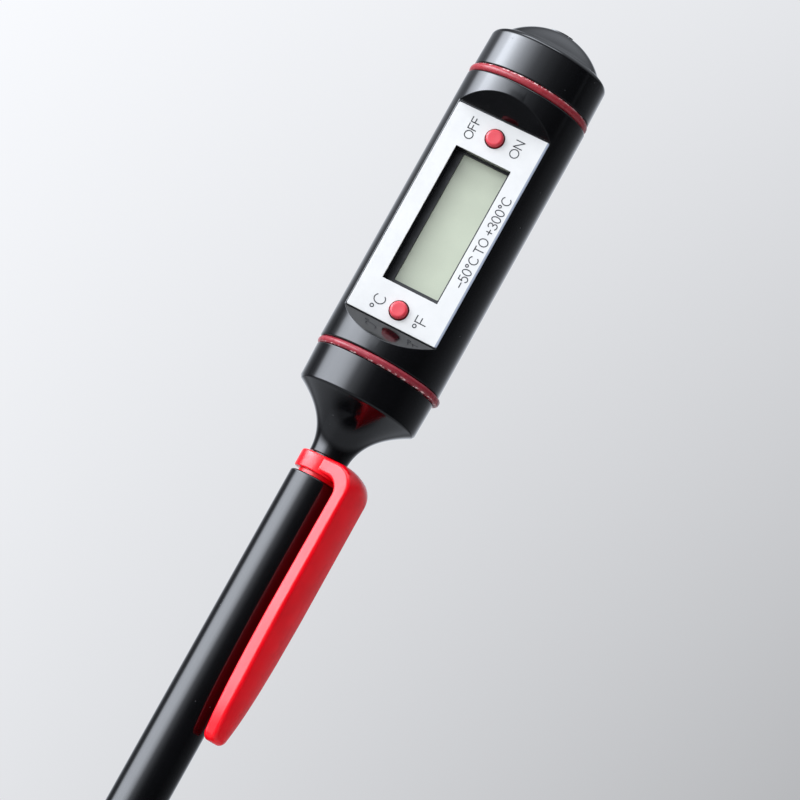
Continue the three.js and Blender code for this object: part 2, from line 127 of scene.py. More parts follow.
def rounded(corners, steps=6):
    """An outline whose corners may be rounded: each corner is (x, y) or (x, y, radius)."""
    points = []
    for i, corner in enumerate(corners):
        here = Vector(corner[:2])
        if len(corner) == 2:
            points.append(here)
            continue
        back = (Vector(corners[i - 1][:2]) - here).normalized()
        ahead = (Vector(corners[(i + 1) % len(corners)][:2]) - here).normalized()
        half = math.acos(max(-1.0, min(1.0, back.dot(ahead)))) / 2
        centre = here + (back + ahead).normalized() * (corner[2] / math.sin(half))
        start = here + back * (corner[2] / math.tan(half)) - centre
        end = here + ahead * (corner[2] / math.tan(half)) - centre
        turn = math.atan2(start.cross(end), start.dot(end))
        points += [centre + Matrix.Rotation(turn * k / steps, 2) @ start for k in range(steps + 1)]
    return points


def arc(centre, radius, start, end, steps):
    """Points of an arc, with its angles in degrees."""
    angles = [math.radians(start + (end - start) * k / steps) for k in range(steps + 1)]
    return [Vector((centre[0] + radius * math.cos(a), centre[1] + radius * math.sin(a))) for a in angles]


def bezier(points, steps):
    """Points of a cubic Bezier curve."""
    p = [Vector(point) for point in points]
    made = []
    for k in range(steps + 1):
        t = k / steps
        s = 1 - t
        made.append(p[0] * s**3 + p[1] * 3 * s * s * t + p[2] * 3 * s * t * t + p[3] * t**3)
    return made


def shape_of(vertices, faces):
    """A new object from vertices and faces, with its faces turned outwards."""
    mesh = bpy.data.meshes.new("shape")
    mesh.from_pydata([tuple(v) for v in vertices], [], faces)
    work = bmesh.new()
    work.from_mesh(mesh)
    bmesh.ops.recalc_face_normals(work, faces=work.faces)
    work.to_mesh(mesh)
    work.free()
    made = bpy.data.objects.new("shape", mesh)
    bpy.context.scene.collection.objects.link(made)
    return made


def bridged(rings, closed=False):
    """Faces between rings of vertex numbers; repeated numbers in a face are merged."""
    faces = []
    pairs = list(zip(rings, rings[1:])) + ([(rings[-1], rings[0])] if closed else [])
    for low, high in pairs:
        for k in range(len(low)):
            n = (k + 1) % len(low)
            face = list(dict.fromkeys([low[k], low[n], high[n], high[k]]))
            if len(face) > 2:
                faces.append(face)
    return faces


def lathe(outline, sides=160, radius_at=None):
    """An outline of (radius, height) turned about Z. radius_at(radius, height, angle) may shift a point."""
    vertices, rings = [], []
    for radius, height in outline:
        if radius < 1e-6:
            rings.append([len(vertices)] * sides)
            vertices.append((0, 0, height))
            continue
        rings.append(range(len(vertices), len(vertices) + sides))
        for k in range(sides):
            angle = FULL * k / sides
            r = radius_at(radius, height, angle) if radius_at else radius
            vertices.append((r * math.cos(angle), r * math.sin(angle), height))
    return shape_of(vertices, bridged(rings, closed=True))


def loft(sections):
    """A solid through a list of sections with the same number of points, closed at both ends."""
    vertices, rings = [], []
    for section in sections:
        rings.append(list(range(len(vertices), len(vertices) + len(section))))
        vertices += section
    return shape_of(vertices, bridged(rings) + [rings[0], rings[-1]])


def facing(points, depth_low, depth_high):
    """An outline in X and Z, thickened from one depth to a greater one; depth is towards -Y."""
    return loft([[Vector((p[0], -depth, p[1])) for p in points] for depth in (depth_low, depth_high)])


def raised(points, low, high):
    """An outline in X and Y, raised from one height to another."""
    return loft([[Vector((p[0], p[1], height)) for p in points] for height in (low, high)])


def revolve(*outline, sides=160):
    """Plain points of (radius, height) turned about Z."""
    return lathe([Vector(point) for point in outline], sides)


def drum(radius, low, high, sides=160):
    """A plain cylinder about Z."""
    return revolve((0, low), (radius, low), (radius, high), (0, high), sides=sides)


def rectangle(left, right, low, high, corner=None):
    """A rectangle's outline, with round corners of one radius where it is given."""
    corners = [(left, low), (right, low), (right, high), (left, high)]
    return rounded([(*c, corner) for c in corners] if corner else corners)


def flattened(radius, depth):
    """A circle about the axis with its display side cut off flat at a depth."""
    start = math.degrees(math.asin(-depth / radius))
    return arc((0, 0), radius, start, 180 - start, 72)


def apply_modifiers(made):
    """Replaces a shape's mesh by the result of its modifiers."""
    graph = bpy.context.evaluated_depsgraph_get()
    mesh = bpy.data.meshes.new_from_object(made.evaluated_get(graph))
    made.modifiers.clear()
    made.data = mesh


def combine(made, operation, *tools):
    """Cuts tools out of a shape, or joins them to it."""
    for tool in tools:
        modifier = made.modifiers.new("combine", "BOOLEAN")
        modifier.operation = operation
        modifier.solver = "MANIFOLD"
        modifier.object = tool
        apply_modifiers(made)
        bpy.data.objects.remove(tool)
    return made


def cut(made, *tools):
    return combine(made, "DIFFERENCE", *tools)


def join(made, *tools):
    return combine(made, "UNION", *tools)


def soften(made, width, chosen, segments=3):
    """Rounds the sharp convex edges for which chosen(middle of the edge) is true."""
    work = bmesh.new()
    work.from_mesh(made.data)
    bmesh.ops.remove_doubles(work, verts=work.verts, dist=0.0005)
    bmesh.ops.dissolve_limit(work, angle_limit=0.0005, verts=work.verts, edges=work.edges)
    sharp = [
        edge for edge in work.edges
        if len(edge.link_faces) == 2 and edge.calc_face_angle_signed(0) > SHARP
        and chosen((edge.verts[0].co + edge.verts[1].co) / 2)
    ]
    bmesh.ops.bevel(work, geom=sharp, offset=width, offset_type="OFFSET", segments=segments, profile=0.5,
                    affect="EDGES", clamp_overlap=True)
    work.to_mesh(made.data)
    work.free()
    return made


def piece(made, name, body, slot, material, *nodes, crease=32, weighted=False):
    """Scales a shape to metres, gives it its name, shading, material and body, and hides the CAD nodes it
    replaces; slot is not used.
    """
    made.name = name
    made.data.name = name
    made.data.transform(Matrix.Scale(MM, 4))
    made.data.shade_smooth()
    made.data.set_sharp_from_angle(angle=math.radians(crease))
    made.data.materials.clear()
    made.data.materials.append(material)
    if weighted:
        modifier = made.modifiers.new("normals", "WEIGHTED_NORMAL")
        modifier.keep_sharp = True
    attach(made, body)
    if nodes:
        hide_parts(*nodes)
    return made


# ---------------------------------------------------------------- materials

class Finish:
    """A material built from procedural nodes around one Principled shader."""

    def __init__(self, name, **constants):
        self.material = bpy.data.materials.new(name)
        self.material.use_nodes = True
        self.tree = self.material.node_tree
        self.shader = self.tree.nodes["Principled BSDF"]
        self.where = self.tree.nodes.new("ShaderNodeTexCoord").outputs["Object"]
        for key, value in constants.items():
            self.shader.inputs[key.replace("_", " ")].default_value = value

    def node(self, kind, inputs, **settings):
        made = self.tree.nodes.new(kind)
        for key, value in settings.items():
            setattr(made, key, value)
        for key, value in inputs.items():
            self.feed(value, made.inputs[key])
        return made

    def feed(self, value, socket):
        if isinstance(value, bpy.types.NodeSocket):
            self.tree.links.new(value, socket)
        else:
            socket.default_value = value

    def noise(self, scale, detail=2.0, stretch=(1, 1, 1), roughness=0.5):
        """Noise from 0 to 1 whose features are about 1 / scale metres."""
        place = self.node("ShaderNodeMapping", {"Vector": self.where, "Scale": stretch})
        made = self.node("ShaderNodeTexNoise", {
            "Vector": place.outputs[0], "Scale": scale, "Detail": detail, "Roughness": roughness,
        })
        return made.outputs["Fac"]

    def ramp(self, value, low, high, to_low=0.0, to_high=1.0):
        """A smooth step between two values."""
        made = self.node("ShaderNodeMapRange", {
            "Value": value, "From Min": low, "From Max": high, "To Min": to_low, "To Max": to_high,
        }, interpolation_type="SMOOTHSTEP")
        return made.outputs[0]

    def math(self, operation, first, second=0.0):
        made = self.tree.nodes.new("ShaderNodeMath")
        made.operation = operation
        self.feed(first, made.inputs[0])
        self.feed(second, made.inputs[1])
        return made.outputs[0]

    def mix(self, share, first, second):
        made = self.tree.nodes.new("ShaderNodeMix")
        made.data_type = "RGBA"
        self.feed(share, made.inputs["Factor"])
        self.feed(first if isinstance(first, bpy.types.NodeSocket) else (*first, 1), made.inputs["A"])
        self.feed(second if isinstance(second, bpy.types.NodeSocket) else (*second, 1), made.inputs["B"])
        return made.outputs["Result"]

    def specks(self, scale, size, share):
        """Small separate grains: one in each cell of about 1 / scale metres, for a share of the cells."""
        cells = self.node("ShaderNodeTexVoronoi", {"Vector": self.where, "Scale": scale, "Randomness": 1.0})
        near = self.ramp(cells.outputs["Distance"], size * 0.6, size, 1.0, 0.0)
        picked = self.node("ShaderNodeSeparateColor", {"Color": cells.outputs["Color"]}).outputs[0]
        return self.math("MULTIPLY", near, self.math("LESS_THAN", picked, share))

    def colour(self, value):
        self.feed(value, self.shader.inputs["Base Color"])

    def roughness(self, value):
        self.feed(value, self.shader.inputs["Roughness"])

    def bump(self, *layers):
        """Layers of (height from 0 to 1, depth in metres), one on another."""
        normal = None
        for height, depth in layers:
            inputs = {"Height": height, "Strength": 1.0, "Distance": depth}
            if normal:
                inputs["Normal"] = normal
            normal = self.node("ShaderNodeBump", inputs).outputs[0]
        self.feed(normal, self.shader.inputs["Normal"])


def shaded(colour, factor):
    return tuple(min(1.0, c * factor) for c in colour)


def moulding(name, colour, low, high, dust=0.0, wave=4e-6, grain=6e-7, variation=0.12, **constants):
    """Moulded plastic: polish that varies, faint flow waves, fine grain, hairline scratches and dust."""
    made = Finish(name, **constants)
    patches = made.noise(140, 4)
    body = made.mix(made.ramp(patches, 0.35, 0.65),
                    shaded(colour, 1 - variation), shaded(colour, 1 + variation))
    scratch = made.noise(900, 1, (1, 1, 0.05))
    fine = made.ramp(scratch, 0.69, 0.74)
    rough = made.ramp(made.noise(260, 5, roughness=0.6), 0.3, 0.7, low, high)
    rough = made.math("ADD", rough, made.math("MULTIPLY", fine, 0.05))
    if dust:
        grains = made.specks(1500, 0.13, dust)
        body = made.mix(grains, body, (0.1, 0.1, 0.1))
        rough = made.math("MAXIMUM", rough, made.math("MULTIPLY", grains, 0.8))
    made.colour(body)
    made.roughness(rough)
    made.bump((made.noise(110, 2), wave), (made.noise(5200, 2), grain), (fine, -4e-7))
    return made.material


def print_film(name, colour, margin_painted_light, white_edge):
    """Printed film with slightly handled patches; right of white_edge is a bare margin whose grey-blue colour
    is painted light and shade.
    """
    made = Finish(name, IOR=1.46)
    patches = made.noise(210, 5, roughness=0.65)
    white = made.mix(made.ramp(patches, 0.3, 0.75), colour, shaded(colour, 0.93))
    right = made.node("ShaderNodeSeparateXYZ", {"Vector": made.where}).outputs[0]
    made.colour(made.mix(made.ramp(right, white_edge - 3e-5, white_edge + 3e-5), white, margin_painted_light))
    made.roughness(made.ramp(made.noise(900, 3), 0.3, 0.7, 0.32, 0.46))
    made.bump((made.noise(160, 2), 8e-6), (made.noise(3800, 3), 1.2e-6))
    return made.material


def ink(name, colour):
    made = Finish(name)
    made.colour(made.mix(made.noise(4200, 3), shaded(colour, 0.7), shaded(colour, 1.6)))
    made.roughness(made.ramp(made.noise(2600, 2), 0.3, 0.7, 0.38, 0.55))
    made.bump((made.noise(6000, 2), 6e-7))
    return made.material


def rubber_finish(name, colour):
    """Translucent silicone rubber with bloom and tiny pits."""
    made = Finish(name, IOR=1.41, Subsurface_Weight=0.05, Subsurface_Radius=(1.0, 0.18, 0.12),
                  Subsurface_Scale=0.0005)
    bloom = made.ramp(made.noise(700, 4, roughness=0.7), 0.45, 0.8)
    made.colour(made.mix(bloom, colour, shaded(colour, 1.35)))
    made.roughness(made.ramp(made.noise(1500, 3), 0.3, 0.7, 0.24, 0.42))
    made.bump((made.noise(900, 3), 1.2e-5), (made.noise(5200, 2), 2.5e-6))
    return made


def seal(name, colour, flash_start, flash_full):
    """The rubber of a squeezed ring; pale crumbs of flash lie along one of its edges."""
    made = rubber_finish(name, colour)
    height = made.node("ShaderNodeSeparateXYZ", {"Vector": made.where}).outputs[2]
    edge = made.ramp(height, flash_start, flash_full)
    crumbs = made.ramp(made.noise(1400, 3, roughness=0.7), 0.52, 0.6)
    base = made.shader.inputs["Base Color"].links[0].from_socket
    made.colour(made.mix(made.math("MULTIPLY", edge, crumbs), base, (0.75, 0.5, 0.48)))
    return made.material


def display_film(name, colour):
    """The blank display: a satin film with a faint cloud and a fine darker grain."""
    made = Finish(name, IOR=1.5)
    cloud = made.ramp(made.noise(190, 3), 0.3, 0.7)
    body = made.mix(cloud, shaded(colour, 0.95), shaded(colour, 1.03))
    grain = made.ramp(made.noise(7000, 2), 0.35, 0.65)
    made.colour(made.mix(made.math("MULTIPLY", grain, 0.25), body, shaded(colour, 0.86)))
    made.roughness(made.ramp(made.noise(2600, 2), 0.3, 0.7, 0.3, 0.4))
    made.bump((made.noise(5200, 2), 1.2e-6))
    return made.material


def steel(name, colour, low, high, stretch=(1, 1, 0.04), scale=5200):
    """Drawn or plated metal: fine lines along one direction and a varying polish."""
    made = Finish(name, Metallic=1.0)
    lines = made.noise(scale, 3, stretch)
    made.colour(made.mix(made.noise(240, 4), shaded(colour, 0.9), shaded(colour, 1.05)))
    made.roughness(made.ramp(lines, 0.3, 0.7, low, high))
    made.bump((lines, 8e-7))
    return made.material


def glass(name, tint):
    made = Finish(name, IOR=1.52, Transmission_Weight=1.0)
    made.colour(made.mix(made.noise(300, 3), tint, shaded(tint, 0.97)))
    made.roughness(made.ramp(made.noise(1200, 3), 0.35, 0.65, 0.01, 0.05))
    return made.material


def laminate(name):
    """Green solder mask over copper tracks that show as slightly raised, lighter lines."""
    made = Finish(name, IOR=1.5)
    place = made.node("ShaderNodeMapping", {"Vector": made.where, "Scale": (1.0, 0.0, 0.55)})
    tracks = made.node("ShaderNodeTexBrick", {
        "Vector": place.outputs[0], "Scale": 420.0, "Mortar Size": 0.12,
        "Brick Width": 0.9, "Row Height": 0.45,
    })
    line = tracks.outputs["Fac"]
    made.colour(made.mix(line, (0.015, 0.10, 0.04), (0.04, 0.24, 0.09)))
    made.roughness(made.ramp(made.noise(1600, 3), 0.3, 0.7, 0.25, 0.4))
    made.bump((line, 2e-5), (made.noise(4200, 2), 1e-6))
    return made.material


BLACK = (0.0013, 0.0013, 0.0018)
MATERIALS = {
    "black_shell": moulding("polished_black", BLACK, 0.08, 0.12, dust=0.03, IOR=1.5),
    "sheath_black": moulding("sheath_black", BLACK, 0.1, 0.16, dust=0.03, IOR=1.5),
    "red_clip": moulding("clip_red", (0.86, 0.0, 0.008), 0.16, 0.24, variation=0.06, IOR=1.48,
                         Subsurface_Weight=0.1, Subsurface_Radius=(1.0, 0.05, 0.05), Subsurface_Scale=0.0008),
    "red_button": moulding("button_red", (0.55, 0.035, 0.05), 0.26, 0.38, grain=1.6e-6, variation=0.08,
                           IOR=1.5, Subsurface_Weight=0.1, Subsurface_Radius=(1.0, 0.15, 0.1),
                           Subsurface_Scale=0.0005),
    "cap_seal": seal("cap_seal_red", (0.27, 0.022, 0.03), 0.22195, 0.2221),
    "nose_seal": seal("nose_seal_red", (0.24, 0.018, 0.028), 0.17406, 0.174),
    # the grey-blue of the label's right margin is painted light and shade
    "white_label": print_film("label_white", (0.59, 0.578, 0.552), (0.2, 0.22, 0.27),
                              LABEL["white"] * MM),
    "ink": ink("label_ink", (0.012, 0.012, 0.014)),
    "black_bezel": moulding("bezel_black", (0.008, 0.008, 0.009), 0.3, 0.45, grain=2e-6),
    "display_film": display_film("display_green_grey", (0.427, 0.455, 0.343)),
    "display_glass": glass("display_glass", (0.86, 0.9, 0.88)),
    "contact_rubber": rubber_finish("contact_rubber", (0.03, 0.03, 0.032)).material,
    "ivory_moulding": moulding("ivory_moulding", (0.75, 0.72, 0.62), 0.35, 0.5, grain=1.5e-6, variation=0.05),
    "dark_moulding": moulding("dark_moulding", (0.02, 0.02, 0.022), 0.4, 0.55, grain=1.5e-6),
    "board_laminate": laminate("board_green"),
    "chip_resin": moulding("chip_resin", (0.008, 0.008, 0.01), 0.16, 0.3, wave=3e-5),
    "chip_ceramic": moulding("chip_ceramic", (0.36, 0.24, 0.13), 0.4, 0.55, grain=2e-6),
    "spring_steel": steel("spring_steel", (0.62, 0.63, 0.66), 0.16, 0.3, (1, 1, 1), 2400),
    "contact_brass": steel("contact_brass", (0.72, 0.6, 0.36), 0.2, 0.34),
    "cell_steel": steel("cell_steel", (0.66, 0.67, 0.69), 0.18, 0.3, (1, 1, 0.06)),
    "probe_steel": steel("probe_steel", (0.63, 0.64, 0.66), 0.12, 0.24),
    "lead_red": moulding("lead_red", (0.4, 0.012, 0.012), 0.35, 0.5, grain=2e-6),
    "lead_black": moulding("lead_black", (0.012, 0.012, 0.014), 0.35, 0.5, grain=2e-6),
    "bead_resin": moulding("bead_resin", (0.12, 0.035, 0.012), 0.12, 0.2, wave=2e-5),
}


# ---------------------------------------------------------------- head

def thread(radius, low, high, phase, out=1):
    """A right-hand ridge wound round a cylinder; out is 1 on a spigot and -1 inside a hole."""
    per_turn = 72
    pitch, half = THREAD["pitch"], THREAD["half_width"]
    fade_steps = 10
    count = int((high - low) / pitch * per_turn)
    sections = []
    for k in range(count + 1):
        angle = FULL * (k / per_turn + phase)
        middle = low + pitch * k / per_turn
        fade = min(1.0, k / fade_steps, (count - k) / fade_steps)
        tip = radius + out * THREAD["height"] * fade
        foot = radius - out * THREAD["root"]
        outline = [
            (foot, -half), (radius, -half), (tip, -half / 3), (tip, half / 3), (radius, half), (foot, half),
        ]
        sections.append([Vector((r * math.cos(angle), r * math.sin(angle), middle + z)) for r, z in outline])
    return loft(sections)


def button_holes(radius, low, high):
    """Cutters for the two button holes between two depths."""
    return [
        facing(arc((0, height), radius, 0, 360, 64)[:-1], low, high) for height in BUTTON_HEIGHTS.values()
    ]


def barrel():
    """The round barrel with its recessed display face, slanted ends, window and button holes."""
    radius, low, high, edge = BARREL["radius"], BARREL["low"], BARREL["high"], BARREL["edge"]
    shell = lathe(rounded([(0, low), (radius, low, edge), (radius, high, edge), (0, high)]), 256)
    beyond, reach = radius + 1, FACE["edge_reach"]
    run = FACE["slope"] * (beyond - FACE["floor"])
    profile = [(-FACE["floor"], FACE["low"]), (-FACE["floor"], FACE["high"]),
               (-beyond, FACE["high"] + run), (-beyond, FACE["low"] - run)]
    recess = loft([[Vector((x, y, z)) for y, z in profile] for x in (-beyond, beyond)])
    window = facing(rectangle(*WINDOW.values()), FACE["inside"] - 1, beyond)
    shell = cut(shell, recess, window, *button_holes(BUTTON["hole"], FACE["inside"] - 1, beyond))
    front, edge_low, edge_high = FACE["floor"] - 0.05, FACE["low"] - reach, FACE["high"] + reach
    shell = soften(shell, FACE["edge"], lambda p: -p.y > front and edge_low < p.z < edge_high)
    bore, seat, step = BORE["round"], BORE["seat_hole"], BORE["seat_step"]
    shell = cut(
        shell,
        drum(bore, low - 1, BORE["round_end"]),
        raised(flattened(bore, FACE["inside"]), low, BORE["seat_low"]),
        raised(flattened(seat, FACE["inside"]), BORE["seat_low"] - 1, step + 0.5),
        drum(seat, step, high + 1),
    )
    return join(shell, thread(seat, THREAD["inside_low"], THREAD["inside_high"], 0.5, -1))


def nose_cone():
    """The nose: a spigot into the barrel, a short cylinder, a flare to the neck and a plug for the sheath."""
    neck, neck_low, low, high = NOSE["neck"], NOSE["neck_low"], NOSE["low"], NOSE["high"]
    bore, cavity, plug = NOSE["bore"], NOSE["cavity"], NOSE["plug"]
    spigot, inner, foot, top = NOSE["spigot"], NOSE["inner"], NOSE_LOW.z, NOSE_HIGH.z
    flare = bezier([(neck, neck_low + 0.1), *FLARE_HANDLES, (NOSE["flare"], low)], 40)
    corners = [
        (bore, foot), (plug, foot, 0.3), (plug, neck_low), (neck, neck_low, 0.12),
        *[tuple(p) for p in flare[1:-1]],
        (NOSE["flare"] + 0.07, low + 0.02, 0.25), (NOSE["draft"], low + 0.4), (NOSE["radius"], high, 0.2),
        (spigot, high), (spigot, top, 0.2), (inner, top), (inner, cavity), (bore, cavity),
    ]
    return lathe(rounded(corners, 5), 192)


def seal_ring(node, inner, outer, swell, lean, seed):
    """A seal squeezed between two faces: it bulges unevenly, and ragged flash stands along its edges."""
    low, high = span(node)[0].z, span(node)[1].z
    middle, half, depth = (low + high) / 2, (high - low) / 2, 0.5
    bulge = [(inner, low), (outer - depth, low)]
    bulge += [(outer - depth + depth * math.cos(a), middle + half * math.sin(a))
              for a in (math.radians(-80 + 160 * k / 14) for k in range(15))]
    bulge += [(outer - depth, high), (inner, high)]

    def radius_at(radius, height, angle):
        """The bulge at an angle: fullest at lean, with slow lumps, and flash near the two edges."""
        if radius < outer - depth - 0.1:
            return radius
        around = Vector((math.cos(angle), math.sin(angle), seed)) * 3.0
        lumps = noise.noise(around * 0.7) * 0.5 + noise.noise(around * 3.1) * 0.22
        flash = max(0.0, noise.noise(around * 9.7 + Vector((0, 0, height))) - 0.18) * 0.5
        near_edge = abs(height - middle) / half
        side = 0.5 + 0.5 * math.cos(angle - math.radians(lean))
        grown = radius - swell * (1 - side) + swell * 0.35 * lumps + flash * 0.16 * (near_edge > 0.8)
        return min(grown, outer)

    return lathe([Vector(p) for p in bulge], 360, radius_at)


def battery_cap():
    """The screwed cap: a domed top with a coin slot between two turn arrows, and a threaded spigot."""
    rise = DOME["apex"] - DOME["base"]
    sphere = (DOME["radius"] ** 2 + rise**2) / (2 * rise)
    spread = math.degrees(math.asin(DOME["radius"] / sphere))
    dome = arc((0, DOME["apex"] - sphere), sphere, 90 - spread, 90, 28)
    low, ceiling, spigot, inner = CAP_LOW.z, CAP["ceiling"], CAP["spigot"], CAP["inner"]
    corners = [
        (0, ceiling), (inner, ceiling, 0.4), (inner, low), (spigot, low, 0.25), (spigot, CAP["low"]),
        (CAP["radius"], CAP["low"], 0.22), (CAP["draft"], CAP["shoulder"], CAP["corner"]),
        (DOME["radius"] + 0.12, DOME["base"] - 0.1, 0.06), *[tuple(p) for p in dome],
    ]
    body = lathe(rounded(corners, 8), 256)
    half, side = SLOT["length"] / 2, SLOT["width"] / 2
    slot = raised(rectangle(-half, half, -side, side, 0.7), SLOT["floor"], DOME["apex"] + 1)
    rim = SLOT["floor"] + 0.3
    body = soften(cut(body, slot), 0.1,
                  lambda p: p.z > rim and abs(p.y) < side + 0.35 and abs(p.x) < half + 0.5)
    body = join(body, thread(spigot, low + 0.7, CAP["low"] - 0.7, 0.0))

    def over_dome(x, y, lift):
        return Vector((x, y, DOME["apex"] - sphere + math.sqrt(sphere**2 - x * x - y * y) + lift))

    def mark(points):
        """A low raised mark on the dome from a flat outline."""
        return loft([[over_dome(*p, lift) for p in points] for lift in (ARROW["sunk"], ARROW["proud"])])

    def polar(radius, angle):
        return Vector((radius * math.cos(math.radians(angle)), radius * math.sin(math.radians(angle))))

    start, end = ARROW["start"], ARROW["end"]
    band = arc((0, 0), ARROW["outer"], start, end, 16) + arc((0, 0), ARROW["inner"], end, start, 16)
    head = [polar(ARROW["head_outer"], ARROW["head_at"]), polar(ARROW["tip"], ARROW["tip_at"]),
            polar(ARROW["head_inner"], ARROW["head_at"])]
    for turn in (0, math.pi):
        spin = Matrix.Rotation(turn, 2)
        body = join(body, mark([spin @ p for p in band]), mark([spin @ p for p in head]))
    return body


piece(barrel(), "barrel_shell", "head", "black_shell", MATERIALS["black_shell"], "barrel", weighted=True)
piece(nose_cone(), "nose_shell", "head", "black_shell", MATERIALS["black_shell"], "nose_cone", weighted=True)
piece(seal_ring("nose_seal_ring", **NOSE_SEAL), "nose_seal", "head", "red_seal", MATERIALS["nose_seal"],
      "nose_seal_ring", crease=60)
piece(seal_ring("cap_seal_ring", **CAP_SEAL), "cap_seal", "cap_seal", "red_seal", MATERIALS["cap_seal"],
      "cap_seal_ring", crease=60)
piece(battery_cap(), "cap_shell", "cap", "black_shell", MATERIALS["black_shell"], "battery_cap",
      weighted=True)


# ---------------------------------------------------------------- display face

def face_label():
    """Thin film with rolled edges, and openings for the window and the two buttons."""
    low, high = FACE["floor"] + 0.005, FACE["floor"] + LABEL["thickness"]
    left, right, top = LABEL["left"], LABEL["right"], LABEL["high"]
    corners = [(left, LABEL["low"]), (right, LABEL["low"]), (right, top), (left, top - LABEL["tilt"])]
    film = facing(rounded([(*c, LABEL["corner"]) for c in corners]), low, high)
    window = facing(rectangle(*WINDOW.values()), low - 1, high + 1)
    film = cut(film, window, *button_holes(BUTTON["hole"] + LABEL["hole_gap"], low - 1, high + 1))
    return soften(film, 0.06, lambda p: -p.y > high - 0.02, 2)


def display_bezel():
    """The frame behind the window: a collar as wide as the window, with a thin lip round the view."""
    half, margin = BEZEL["half_width"], BEZEL["margin"]
    back, lip, front = BEZEL["back"], BEZEL["lip"], BEZEL["front"]
    outline = rectangle(-half, half, WINDOW["low"] - margin, WINDOW["high"] + margin, 0.3)
    block = facing(outline, back, front)
    collar = facing(rectangle(*WINDOW.values(), 0.12), lip, front + 1)
    view = facing(rectangle(*DISPLAY_VIEW.values(), 0.2), back - 1, front + 1)
    return soften(cut(block, collar, view), 0.05, lambda p: lip - 0.02 < -p.y < lip + 0.02, 2)


def push_button(height):
    """A round button held by its flange; its top is slightly dished inside a broad round rim."""
    radius, top, rim = BUTTON["radius"], BUTTON["top"], BUTTON["rim"]
    stem, end, flange, back = BUTTON["stem"], BUTTON["stem_end"], BUTTON["flange"], BUTTON["flange_back"]
    front = FACE["inside"] - 0.05
    corners = [
        (0, end), (stem, end), (stem, back), (flange, back, 0.1), (flange, front, 0.1), (radius, front),
        (radius, top - rim), *[tuple(p) for p in arc((radius - rim, top - rim), rim, 0, 90, 12)],
        (radius * 0.4, top - 0.02), (0, top - 0.03),
    ]
    made = lathe(rounded(corners, 3), 96)
    made.data.transform(Matrix.Translation((0, 0, height)) @ Matrix.Rotation(math.pi / 2, 4, "X"))
    return made


def bowl(x, y, rx, ry, start=0, end=360, steps=24):
    """A stroke along an ellipse, with its angles in degrees."""
    angles = [math.radians(start + (end - start) * k / steps) for k in range(steps + 1)]
    return [(x + rx * math.cos(a), y + ry * math.sin(a)) for a in angles]


# each letter's width, and its strokes in a box one unit high
LETTERS = {
    "O": (0.86, [bowl(0.43, 0.5, 0.43, 0.5)]),
    "F": (0.56, [[(0, 0), (0, 1), (0.56, 1)], [(0, 0.52), (0.48, 0.52)]]),
    "N": (0.7, [[(0, 0), (0, 1), (0.7, 0), (0.7, 1)]]),
    "C": (0.78, [bowl(0.44, 0.5, 0.44, 0.5, 42, 318)]),
    "T": (0.68, [[(0, 1), (0.68, 1)], [(0.34, 1), (0.34, 0)]]),
    "0": (0.6, [bowl(0.3, 0.5, 0.3, 0.5)]),
    "3": (0.56, [
        bowl(0.26, 0.75, 0.26, 0.25, 150, -90, 14) + bowl(0.26, 0.25, 0.3, 0.25, 90, -150, 14)[1:],
    ]),
    "5": (0.56, [[(0.52, 1), (0.1, 1), (0.05, 0.56)] + bowl(0.26, 0.33, 0.3, 0.33, 125, -150, 16)]),
    "-": (0.56, [[(0, 0.5), (0.56, 0.5)]]),
    "+": (0.6, [[(0, 0.5), (0.6, 0.5)], [(0.3, 0.2), (0.3, 0.8)]]),
    "degree": (0.32, [bowl(0.16, 0.84, 0.15, 0.15)]),
    " ": (0.14, []),
}


def lettering(letters, baseline, height, low, high):
    """Strokes of a line of letters that reads upwards, with the letters' tops towards -X."""
    gap = PRINTING["letter_gap"]
    length = sum(LETTERS[c][0] for c in letters) + gap * (len(letters) - 1)
    along = (high - low) / (length * height)
    strokes, at = [], 0.0
    for c in letters:
        width, lines = LETTERS[c]
        for line in lines:
            strokes.append([(baseline - y * height, low + (at + x) * height * along) for x, y in line])
        at += width + gap
    return strokes


def split_at_corners(line):
    """Parts of a line between its sharp corners, those that turn by more than 0.9 radians."""
    parts, start = [], 0
    for k in range(1, len(line) - 1):
        before, after = Vector(line[k]) - Vector(line[k - 1]), Vector(line[k + 1]) - Vector(line[k])
        if before.angle(after) > 0.9:
            parts.append(line[start:k + 1])
            start = k
    return parts + [line[start:]]


def ribbon(line, half):
    """Pairs of points at the two sides of a line, and whether the line is closed."""
    closed = (Vector(line[0]) - Vector(line[-1])).length < 1e-6
    points = [Vector(p) for p in (line[:-1] if closed else line)]
    pairs = []
    for k, here in enumerate(points):
        before = points[k - 1] if closed or k else here
        after = points[(k + 1) % len(points)] if closed or k < len(points) - 1 else here
        along = (after - before).normalized()
        across = Vector((-along.y, along.x)) * half
        reach = along * half * 0.7 * ((here == after) - (here == before))
        pairs.append((here + reach + across, here + reach - across))
    return pairs, closed


def printed(strokes, low, high):
    """Strokes of ink as thin flat ribbons between two depths."""
    vertices, faces = [], []
    for line in strokes:
        for part in split_at_corners(line):
            pairs, closed = ribbon(part, PRINTING["half_stroke"])
            rings = []
            for a, b in pairs:
                rings.append(list(range(len(vertices), len(vertices) + 4)))
                vertices += [
                    (p[0], -depth, p[1]) for p, depth in ((a, low), (b, low), (b, high), (a, high))
                ]
            faces += bridged(rings, closed)
            if not closed:
                faces += [rings[0], rings[-1]]
    return shape_of(vertices, faces)


